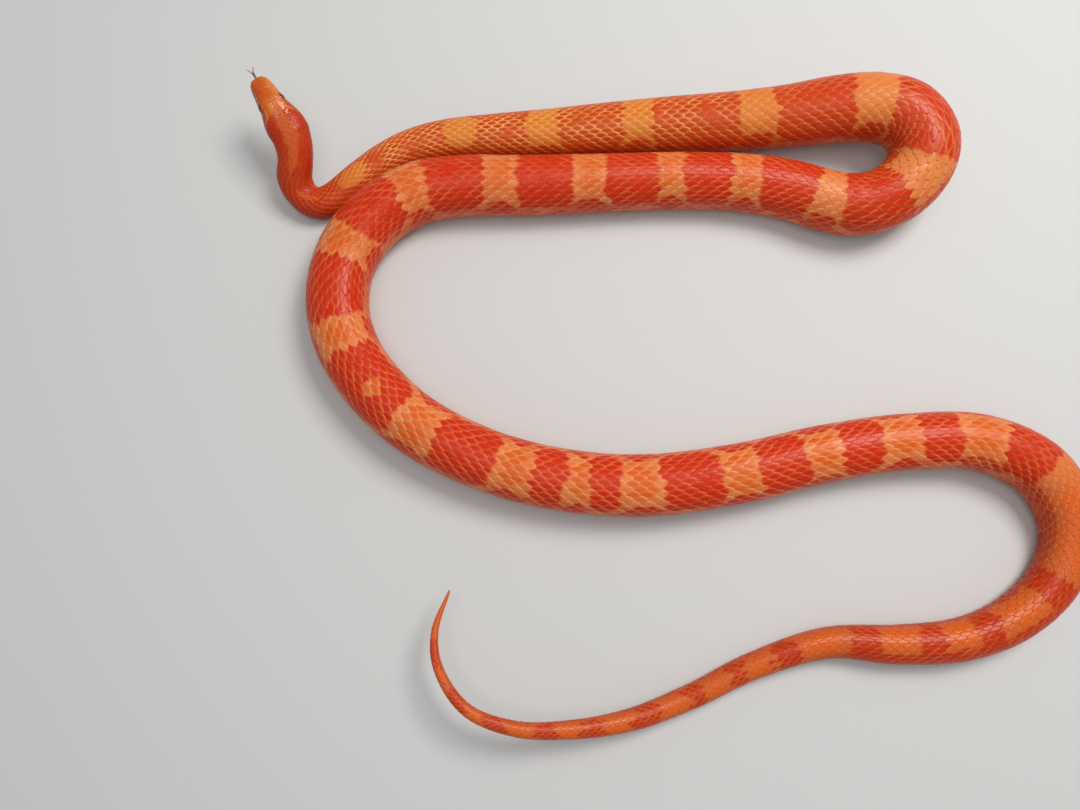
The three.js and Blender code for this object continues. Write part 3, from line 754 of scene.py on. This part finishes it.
# lift of the head's skin, the painted shade in its seams, mouth, nostrils, eye sockets and tongue notch, and
# the height over the mouth, at points of the bare head
def headDetail(arc, around, bare):
    f = arc + headLength
    across, up = lookUp(sideTable, arc, around)[..., 0], lookUp(upTable, arc, around)[..., 0]
    half = np.abs(across)
    fromBack = np.abs(around) * halfGirthAt(arc)
    fromThroat = (1 - np.abs(around)) * halfGirthAt(arc)
    fromMouth = up - mouthAt(f)
    onTop = fromBack < np.where(f < plates["browStart"], *plates["topReach"])
    onCheek = (fromBack > plates["cheekFrom"]) & (fromMouth > plates["cheekAbove"])
    zones = [(onTop, fromSeams(f, fromBack, plates["topSeams"])), (onCheek, cheekSeams(f, up)),
             (f < mouthCorner, lipSeams(f, fromMouth)),
             (fromMouth < -plates["lipDepth"], chinSeams(f, fromThroat))]
    seam = np.min([np.where(inside, away, noSeam) for inside, away in zones], 0)
    end = plateEndAt(np.abs(around))
    plated = fadeOut(f, end - 0.6, end + 0.4)
    groove = bump(seam, 0, plates["grooveWidth"]) * plated * smoothstep(f, 0.2, 0.8)
    mouth = bump(fromMouth, 0, plates["mouthWidth"]) * fadeOut(f, mouthCorner - 0.5, mouthCorner + 0.6)
    lift = plates["crown"] * np.minimum(seam, 1) * plated - plates["groove"] * groove
    lift = lift - plates["mouthDepth"] * mouth
    socket = 0
    opening = eye["opening"]
    for sign in (-1, 1):
        middle, axis = eyeFrame(sign)
        offset = bare - middle
        depth = offset @ axis
        away = np.linalg.norm(offset - depth[..., None] * axis, axis=-1) + noSeam * (np.abs(depth) > 3)
        rim = bump(away, opening + 0.32, eye["rimSpread"])
        lift = lift + eye["rim"] * rim - eye["depth"] * fadeOut(away, opening - 0.3, opening)
        socket = socket + fadeOut(away, opening - 0.1, opening + 0.1)
    fromNostril = np.hypot(f - nostril["fromSnout"], up - nostril["up"])
    hole = fadeOut(fromNostril, nostril["radius"] * 0.6, nostril["radius"]) * (half > 2)
    notch = softPatch(half, fromMouth, 1, 0, 0.45, -0.05, 0.4) * fadeOut(f, 0.5, 1.4)  # for the tongue
    lift = lift - nostril["depth"] * hole - plates["notch"] * notch
    # painted shade: the colour darkens in the seams' grooves, along the mouth, in the nostrils, the eye
    # sockets and the tongue's notch
    shade = plates["seamShade"] * groove * np.where(fromMouth > 0, 1, plates["lowerShade"])
    shade = np.clip(shade + plates["mouthShade"] * mouth + hole + eye["shade"] * socket + notch, 0, 1)
    return lift, shade, fromMouth


# patches of the head: share, then middle and spread from the snout and round from the midline, in mm
headPatches = {
    "red": [(0.6, 5.6, 3.2, -1.9, 2.2), (0.25, 10, 3.0, -0.4, 1.4)], "redPair": (0.4, 17, 1.6, 1.2, 0.8),
    "gold": (0.6, 13, 2.4, 0, 2.6), "goldSide": 0.5, "paleCheek": 0.75, "paleLip": 0.55,
}


# shares of red, gold, pale and chin on the head
def headMarks(arc, around, fromMouth):
    f = arc + headLength
    signed = around * halfGirthAt(arc)
    fromBack = np.abs(signed)
    red = sum(softPatch(f, signed, *patch) for patch in headPatches["red"])
    red = red + softPatch(f, fromBack, *headPatches["redPair"])
    red = red + smoothstep(napeDepth(arc, around), -0.5, 0.7)
    gold = smoothstep(signed, 1.5, 4.5) * fadeOut(f, 9, 13) + softPatch(f, signed, *headPatches["gold"])
    gold = gold + headPatches["goldSide"] * smoothstep(fromBack, 3, 5) * fadeOut(f, 3, 6)
    overCheek = (np.abs(around) - cheekAt(f)) * nape["perTurn"]
    pale = headPatches["paleCheek"] * bump(overCheek, -0.35, 0.6) * smoothstep(f, 13.2, 15)
    pale = pale * fadeOut(f, 16.8, 19.6)
    onLip = smoothstep(fromMouth, 1.6, 0.6) * (fromMouth > 0) * fadeOut(f, 17.5, mouthCorner)
    chin = smoothstep(-fromMouth, -0.1, 0.9) * (1 - smoothstep(f, mouthCorner, 24) * (np.abs(around) < 0.6))
    return np.clip(red, 0, 1), np.clip(gold, 0, 1), np.clip(pale + headPatches["paleLip"] * onLip, 0, 1), chin


coat = {
    "depth": 0.32,  # the skin lies this far inside the scales' backs
    "thinShare": 0.12,  # but no more than this share of the half width on the tail
    "start": -7.9,  # the middle of the first scale on the back, just behind the head plates
    "lead": 0.35,  # the plates end this far before the middle of the first scales
    "slipFade": (-9, 8),  # the rows follow the plates' edge up to here
    "pitch": [(-8, 2.1), (0, 2.9), (30, 3.9), (100, 4.8), (250, 5.6), (800, 5.9), (1000, 5.4),
              (ventArc, 4.6), (1200, 3.6), (1300, 2.4), (1346, 1.8)],
    "fullPitch": 5.5, "leastSize": 0.3,  # scales are as thick as they should be at this pitch
    "rowsEachSide": 12, "wideFrom": 7, "widen": 0.05,  # lower rows are wider
    # where each row ends, and over how far to each side of that it narrows
    "drops": {11: 940, 9: 1000, 10: 1060, 8: 1128, 7: 1160, 6: 1205, 5: 1250, 4: 1290}, "dropFade": 14,
    "leastWidth": 0.45,  # narrower scales than this share of the first row's are left out
    "length": 0.62, "width": 0.8, "squareness": 1.6, "tilt": 0.15, "dome": 0.13, "wall": 0.15,
    "shoulder": (0.16, 0.55), "crown": (0.38, 0.4), "peak": 0.05,  # insets and rises of the scale's top
    "varySize": 0.03, "varyTilt": 0.12, "varyLean": 0.025, "varyLift": 0.02,
    "crossing": 0.6,  # how far a marking's edge runs across a scale, and not round it
    "patch": 0.003,  # size of one scale's patch on the bake map
    "parts": {"scalesFront": (-30, 300), "scalesMiddle": (300, 640), "scalesRear": (640, 980),
              "scalesTail": (980, 1400)},
}
pitchAt = smoothProfile(coat["pitch"])


def skinDepth(arc):
    return np.minimum(coat["depth"], halfWidthAt(arc) * coat["thinShare"])


def scaleSize(pitch):
    return np.clip(pitch / coat["fullPitch"], coat["leastSize"], 1)


# middles of scales or scutes along the body, from start to this far from the tail tip
def scaleLine(start, left):
    line = [start]
    while line[-1] < bodyArc - left:
        line.append(line[-1] + float(pitchAt(line[-1])))
    return np.array(line)


# how far the rows near the head follow the slanting edge of its plates
def plateSlip(arc, around):
    return (plateEndAt(around) - plateEndAt(0.0)) * fadeOut(arc, *coat["slipFade"])


# width of every row on one side at places along, as a share of the scaled half girth
def rowWidths(arc):
    rows = np.arange(coat["rowsEachSide"] + 1)
    width = 1 + coat["widen"] * np.maximum(rows - coat["wideFrom"], 0)[:, None] + np.zeros((1, len(arc)))
    for row, drop in coat["drops"].items():
        width[row] *= fadeOut(arc, drop - coat["dropFade"], drop + coat["dropFade"])
    width[0] *= 0.5
    return width / width.sum(0) * marks["bellyEdge"]


# the middle of the first scale of the row at this place round the head, in mm from the head joint
def firstScaleAt(around):
    start = np.array([coat["start"]])
    width = rowWidths(start)[:, 0]
    row = np.minimum(np.searchsorted(np.cumsum(width), np.abs(around)), coat["rowsEachSide"])
    slip = plateSlip(start, np.cumsum(width) - width / 2)
    return (coat["start"] + 0.5 * (np.arange(len(width)) % 2) * pitchAt(start) + slip)[row]


# places on the skin's own unwrap: the head above, the body in side by side strips below
def stripPlaces(arc, around):
    count, headShare, edge = 5, 0.46, 0.004
    strip = np.clip(np.floor(arc.mean(-1, keepdims=True) / bodyArc * count), 0, count - 1)
    across = around / 2 + 0.5
    x = (strip + edge * count + across * (1 - 2 * edge * count)) / count
    y = edge + (arc / bodyArc * count - strip) * (1 - headShare - 4 * edge) + edge
    onHead = arc.mean(-1, keepdims=True) < 0
    x = np.where(onHead, edge + across * (1 - 2 * edge), x)
    y = np.where(onHead, 1 - edge + arc / headLength * (headShare - 2 * edge), y)
    return np.stack([x, np.clip(y, 0, 1)], -1)


fleshNames = ("head", "lower_jaw", "neck", "trunk", "tail")  # nodes that the skin replaces start so


# one skin from snout to tail tip, finer on the head
def makeSkin():
    fine, coarse = 288, 48  # points round the head and round the body
    headStations = np.concatenate([-headLength + snoutTip * np.linspace(0.02, 1, 30) ** 1.7,
                                   np.arange(-headLength + 3.35, -4.0, 0.15), np.arange(-4, 2, 0.5)])
    bodyStations = np.concatenate([np.arange(4.0, neckEnd, 1.5), np.arange(neckEnd, bodyArc - 1, 3.0),
                                   [bodyArc - 0.4]])
    arcs, turns = np.meshgrid(headStations, np.arange(fine) / fine * 2 - 1, indexing="ij")
    # the middle value is the head's painted shade, in its seams, mouth, nostrils, eye sockets and tongue
    # notch
    lift, groove, fromMouth = headDetail(arcs, turns, onSurface(arcs, turns))
    end = firstScaleAt(turns) - coat["lead"]
    onHead = fadeOut(arcs, end - 0.2, end + 0.3)
    headPoints = onSurface(arcs, turns, lift * onHead - coat["depth"] * (1 - onHead))
    headRed, gold, pale, chin = headMarks(arcs, turns, fromMouth)
    lowArcs, lowTurns = np.meshgrid(bodyStations, np.arange(coarse) / coarse * 2 - 1, indexing="ij")
    bodyPoints = onSurface(lowArcs, lowTurns, -skinDepth(lowArcs))
    tailTip = onSurface(bodyArc, np.array([-0.5, 0, 0.5])).mean(0)
    points = np.concatenate([headPoints.reshape(-1, 3), bodyPoints.reshape(-1, 3),
                             headPoints[:1].mean(1), tailTip[None]])
    allArcs = np.concatenate([arcs.ravel(), lowArcs.ravel(), [-headLength, bodyArc]])
    allTurns = np.concatenate([turns.ravel(), lowTurns.ravel(), [0, 0]])
    depth, clear, flank, belly, rear = bodyMarks(allArcs, allTurns)
    belly[:chin.size] = chin.ravel() * onHead.ravel() + belly[:chin.size] * (1 - onHead.ravel())
    values = dict.fromkeys(markNames, np.zeros(len(allArcs)))
    values.update({"red": smoothstep(depth, -0.5, 0.5), "clear": clear, "flank": flank, "belly": belly,
                   "rear": rear, "muted": mutedShare(allArcs), "rim": np.full(len(allArcs), 0.35)})
    # the groove attribute carries that painted shade into the colour
    for name, share in zip(headNames, (onHead, gold, headRed, pale * onHead, groove * onHead)):
        values[name] = np.concatenate([share.ravel(), np.zeros(len(allArcs) - share.size)])
    first, step = len(headStations) * fine, fine // coarse
    last = first + (len(bodyStations) - 1) * coarse
    snout, tip = len(points) - 2, len(points) - 1
    faces = tubeFaces(0, len(headStations), fine)
    for j in range(coarse):  # the fine rings meet the coarse ones in wide faces
        rim = [first - fine + (j * step + k) % fine for k in range(step + 1)]
        faces.append((*reversed(rim), first + j, first + (j + 1) % coarse))
    faces.extend(tubeFaces(first, len(bodyStations), coarse))
    faces.extend((snout, j, (j + 1) % fine) for j in range(fine))
    faces.extend((tip, last + (j + 1) % coarse, last + j) for j in range(coarse))
    flesh = [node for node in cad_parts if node.startswith(fleshNames)]
    piece = addMesh("skin", points, faces, snakeFinish("plainSkin", onHead=True), flesh, values)
    places = np.zeros((len(piece.data.loops), 2))
    for face in piece.data.polygons:
        own = list(face.vertices)
        turn = allTurns[own]
        if turn.max() - turn.min() > 1:  # the face that closes the ring along the belly
            turn = np.where(turn > 0, turn - 2, turn)
        places[face.loop_start:face.loop_start + len(own)] = stripPlaces(allArcs[own], turn)
    addBakeMap(piece, np.clip(places, 0, 1))


# Scales

# one scale: a rounded lozenge with a thin wall, a rim and a low crown
def scaleShape():
    bpy.ops.mesh.primitive_circle_add(vertices=12, radius=1, fill_type="NGON")
    piece = bpy.context.object
    startEditing(piece)
    bpy.ops.mesh.extrude_region_move(TRANSFORM_OT_translate={"value": (0, 0, 1)})
    for inset, rise in (coat["shoulder"], coat["crown"]):
        bpy.ops.mesh.inset(thickness=inset)
        bpy.ops.transform.translate(value=(0, 0, rise))
    bpy.ops.mesh.poke(offset=coat["peak"])
    endEditing()
    points, faces = readMesh(piece)
    radius, turn = np.hypot(points[:, 0], points[:, 1]), np.arctan2(points[:, 1], points[:, 0])
    bend = 2 / coat["squareness"]
    lengthwise, crosswise = (radius * np.sign(share) * np.abs(share) ** bend
                             for share in (np.cos(turn), np.sin(turn)))
    return lengthwise, crosswise, points[:, 2] - 1, smoothstep(radius, 0.72, 0.96), faces


# along, around, row width and pitch of every scale
def scalePlaces():
    line = scaleLine(coat["start"], 2.5)
    found = []
    for row in range(-coat["rowsEachSide"], coat["rowsEachSide"] + 1):
        along = line + 0.5 * (row % 2) * pitchAt(line)
        along = along[along < bodyArc - 2.0]
        width = rowWidths(along)
        k = abs(row)
        middle = width[:k].sum(0) + width[k] / 2 if k else np.zeros(len(along))
        own = width[k] * (2 if k == 0 else 1)
        keep = own > coat["leastWidth"] * np.maximum(width[1], 1e-6)
        arc = along + plateSlip(along, middle)
        found.append(np.stack([arc, np.sign(row) * middle, own, pitchAt(along)], 1)[keep])
    return np.concatenate(found)


# the coat in four pieces, every scale with its own slight change of size and lean
def makeScales():
    lengthwise, crosswise, height, rim, faces = scaleShape()
    inner = fadeOut(np.hypot(lengthwise, crosswise), 0.4, 0.8)
    places = scalePlaces()
    ahead, behind = (onSurface(places[:, 0] + step, places[:, 1]) for step in (1, -1))
    stretch = np.linalg.norm(ahead - behind, axis=1) / 2  # how far a bend stretches or closes up the skin
    finish = snakeFinish("scaleFinish")
    for name, (low, high) in coat["parts"].items():
        chosen = (places[:, 0] >= low) & (places[:, 0] < high)
        along, around, width, pitch = (places[chosen, i][:, None] for i in range(4))
        slack = np.clip(stretch[chosen], 0.45, 2.2)[:, None] ** -0.15
        vary = rng.uniform(-1, 1, (len(along), 6))
        longer, wider = 1 + coat["varySize"] * vary[:, :1], 1 + coat["varySize"] * vary[:, 1:2]
        arc = along + lengthwise * pitch * coat["length"] * slack * longer
        turn = np.clip(around + crosswise * width * coat["width"] * wider, -0.98, 0.98)
        size = scaleSize(pitch) * np.clip(width * 60, 0.4, 1)
        up = height * np.where(height > 0, coat["dome"], coat["wall"])
        tip = coat["tilt"] * lengthwise * (1 + coat["varyTilt"] * vary[:, 4:5])
        tip = tip + coat["varyLean"] * crosswise * vary[:, 5:6]
        lift = (up - coat["wall"] + tip + coat["varyLift"] * vary[:, 2:3]) * size
        points = onSurface(arc, turn, np.maximum(lift, -skinDepth(along) - 0.1))
        depth, clear, flank, belly, rear = bodyMarks(along, around)
        depth = depth + coat["crossing"] * (bodyMarks(arc, turn)[0] - depth)
        values = {
            "red": smoothstep(depth + 0.3 * inner, -0.4, 0.5), "edge": bump(depth, 0.6, 1.6),
            "clear": clear, "core": inner, "flank": flank, "belly": smoothstep(belly, 0.3, 0.7), "rear": rear,
            "muted": mutedShare(along), "vary": vary[:, 3:4], "check": 0,
            # pale rims, stronger on each scale's rear half and on the front's back: pale scale edges with
            # painted glints
            "rim": rim * (0.55 + 0.45 * (lengthwise > -0.1)) * rimAndGlintFade(along, around),
        }
        patch = (lengthwise * coat["patch"] / 2, crosswise * coat["patch"] / 2)
        layCopies(name, points, faces, finish, values, along, around / 2 + 0.5, patch)


# Belly

scutes = {
    "start": -3.0, "across": 14, "along": 3, "overlap": 1.25, "under": 0.035, "trim": 0.16,
    "wall": 0.16, "tilt": 0.1, "sunk": 0.03,
    "checkShare": 0.48, "checkSeed": 5, "checkStart": (70, 150), "checkStrength": 0.8,
}


# orange checks on the belly, a block of two scutes at a time on either side
def bellyChecks(scute, around):
    block = np.floor(scute / 2.0 + 0.5 * np.sign(around))
    pick = np.random.default_rng(scutes["checkSeed"]).uniform(0, 1, 400)
    pick = pick[(block.astype(int) * 2 + (around > 0)) % len(pick)]
    fromMiddle = 1 - np.abs(around)
    inBlock = smoothstep(fromMiddle, 0.03, 0.06) * fadeOut(fromMiddle, 0.17, 0.22)
    return inBlock * (pick > 1 - scutes["checkShare"])


# one wide plate copied down the belly, each lapping over the next
def makeScutes():
    bpy.ops.mesh.primitive_grid_add(x_subdivisions=scutes["across"], y_subdivisions=scutes["along"], size=2)
    piece = bpy.context.object
    startEditing(piece)
    bpy.ops.mesh.extrude_region_move(TRANSFORM_OT_translate={"value": (0, 0, 1)})
    endEditing()
    shape, faces = readMesh(piece)
    line = scaleLine(scutes["start"], 4)[:, None]
    pitch = pitchAt(line)
    crosswise, lengthwise, top = shape.T
    arc = line + lengthwise * (1 - scutes["trim"] * crosswise ** 2) * pitch * scutes["overlap"] / 2
    fromMiddle = crosswise * (1 - marks["bellyEdge"] + scutes["under"])
    around = np.where(fromMiddle >= 0, 1 - fromMiddle, -1 - fromMiddle)
    lift = (top - 1) * scutes["wall"] + scutes["tilt"] * (lengthwise - 1)
    points = onSurface(arc, around, lift * scaleSize(pitch) - scutes["sunk"])
    check = bellyChecks(np.arange(len(line))[:, None], around) * smoothstep(line, *scutes["checkStart"])
    values = dict.fromkeys(markNames, 0)
    values.update({"belly": 1, "check": check * scutes["checkStrength"]})
    patch = (lengthwise * coat["patch"] / 2, crosswise * 0.2)
    layCopies("bellyScutes", points, faces, snakeFinish("scuteFinish"), values, line, 0.5, patch)


# Eyes and tongue

eyeTones = {"pupil": colour(40, 3, 6), "iris": colour(110, 16, 10), "glow": colour(140, 34, 18),
            "rim": colour(60, 8, 8), "pupilSize": 0.42, "pupilEdge": 0.05, "rimSize": 0.84, "rimEdge": 0.1}
# in mm; sunk is how far its middle lies below the bare head's surface
eyeball = {"width": 2.0, "bulge": 1.3, "depth": 2.0, "sunk": 0.62}


# dark pupil, dim ruby iris; the pattern runs round the axis of the eye
def eyeFinish(name, centre, axis):
    finish = Finish(name)
    kind = "ShaderNodeVectorMath"
    fromCentre = finish.node(kind, {"operation": "SUBTRACT"}, i0=finish.place(), i1=tuple(centre * mm))
    turned = finish.node(kind, {"operation": "CROSS_PRODUCT"}, i0=fromCentre, i1=tuple(axis))
    away = finish.node(kind, {"operation": "LENGTH"}, output=1, i0=turned) / (eyeball["width"] * mm)
    iris = ((away - eyeTones["pupilSize"]) / eyeTones["pupilEdge"]).clamp()
    edge = ((away - eyeTones["rimSize"]) / eyeTones["rimEdge"]).clamp()
    fibres = finish.noise(2400.0, 3.0)
    base = finish.mix(iris, eyeTones["pupil"], finish.mix(fibres, eyeTones["iris"], eyeTones["glow"]))
    base = finish.mix(edge, base, eyeTones["rim"])
    finish.set(Base_Color=base, Roughness=0.08, Specular_IOR_Level=0.3, Coat_Weight=0.4, Coat_Roughness=0.02)
    return finish.material


def makeEyes():
    for name, sign in (("left", -1), ("right", 1)):
        middle, axis = eyeFrame(sign)
        centre = middle - axis * eyeball["sunk"]
        turn = Vector(axis).to_track_quat("Z", "Y").to_matrix()
        bpy.ops.mesh.primitive_uv_sphere_add(segments=40, ring_count=28, radius=1)
        piece = bpy.context.object
        for point in piece.data.vertices:
            out = eyeball["bulge"] if point.co.z > 0 else eyeball["depth"]
            shaped = Vector((point.co.x * eyeball["width"], point.co.y * eyeball["width"], point.co.z * out))
            point.co = (turn @ shaped + Vector(centre)) * mm
        bpy.ops.object.shade_smooth()
        piece.name = f"eyeball_{name}"
        piece.data.materials.append(eyeFinish(f"eye_{name}_finish", centre, axis))
        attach(piece, "root")
        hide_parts(f"eye_{name}")


tongue = {
    "root": 2.6, "stem": 2.2, "tine": 2.6, "half": 0.5, "upturn": 0.05, "apart": 0.22, "spread": 1.5,
    "thick": 0.62, "taper": 0.42, "flatness": 0.6, "tip": 0.02, "steps": 18, "sides": 10,
    "dark": colour(96, 14, 26), "light": colour(140, 34, 40),
}


def tongueFinish():
    finish = Finish("tongueFinish")
    base = finish.mix(finish.noise(1800.0, 2.0), tongue["dark"], tongue["light"])
    finish.set(Base_Color=base, Roughness=0.3, Coat_Weight=0.5, Coat_Roughness=0.1)
    return finish.material


# two tapered round tines that part from one stem, flattened a little
def makeTongue():
    steps, sides = tongue["steps"], tongue["sides"]
    points, faces = [], []
    for sign in (-1, 1):
        start = len(points)
        for i in range(steps + 1):
            ahead = -tongue["root"] + (tongue["root"] + tongue["stem"] + tongue["tine"]) * (i / steps)
            past = max(0.0, ahead - tongue["stem"]) / tongue["tine"]
            side = sign * (tongue["apart"] + tongue["spread"] * past ** 1.3)
            thick = tongue["half"] * (tongue["thick"] - tongue["taper"] * past)
            thick *= tongue["tip"] if i == steps else 1
            rise = tongue["upturn"] * max(0.0, ahead) ** 2
            for j in range(sides):
                turn = 2 * math.pi * j / sides
                points.append(headPoint(headLength + ahead, side + thick * math.cos(turn),
                                        rise + tongue["flatness"] * thick * math.sin(turn)))
        faces.extend(tubeFaces(start, steps + 1, sides))
        faces.append([start + j for j in range(sides)])
        faces.append([start + steps * sides + j for j in reversed(range(sides))])
    piece = addMesh("forkedTongue", points, faces, tongueFinish(), ["tongue"])
    startEditing(piece)
    endEditing()


# Stage

studio = {
    "floorSize": 16.0, "floorColour": colour(197, 199, 201),
    "cameraHeight": 0.361, "cameraTilt": 8.3, "sensor": 36, "focal": 811 / 1080 * 36,
    "world": 0.37, "lightColour": (1.0, 0.96, 0.9),
    "lamps": {"key": {"place": (0.42, 0.42, 0.9), "size": 0.45, "power": 9.0},
              "fill": {"place": (-0.14, -0.04, 1.0), "size": 0.6, "power": 2.2}},
}


def makeStage():
    bpy.ops.mesh.primitive_plane_add(size=studio["floorSize"])
    floor = bpy.context.object
    floor.name = "floor"
    finish = Finish("paleFloor")
    finish.set(Base_Color=studio["floorColour"], Roughness=0.7)
    floor.data.materials.append(finish.material)
    bpy.context.scene.view_settings.view_transform = "Standard"
    world = bpy.data.worlds.new("softWhite")
    world.use_nodes = True
    world.node_tree.nodes["Background"].inputs[0].default_value = (1, 1, 1, 1)
    world.node_tree.nodes["Background"].inputs[1].default_value = studio["world"]
    bpy.context.scene.world = world
    for name, values in studio["lamps"].items():
        place = Vector(values["place"])
        bpy.ops.object.light_add(type="AREA", location=place)
        lamp = bpy.context.object
        lamp.name = f"{name}Light"
        lamp.data.size = values["size"]
        lamp.data.energy = values["power"]
        lamp.data.color = studio["lightColour"]
        lamp.rotation_euler = (-place).to_track_quat("-Z", "Y").to_euler()
    place = (-planCentre[0] * mm, -planCentre[1] * mm, studio["cameraHeight"])
    bpy.ops.object.camera_add(location=place, rotation=(math.radians(studio["cameraTilt"]), 0, 0))
    camera = bpy.context.object
    camera.data.lens = studio["focal"]
    camera.data.sensor_width = studio["sensor"]
    camera.data.clip_start = 0.01
    bpy.context.scene.camera = camera


bpy.ops.object.select_all(action="DESELECT")
makeStage()
print("stage made")
makeSkin()
print("skin made")
makeScales()
makeScutes()
makeEyes()
makeTongue()
print("eyes and tongue made")
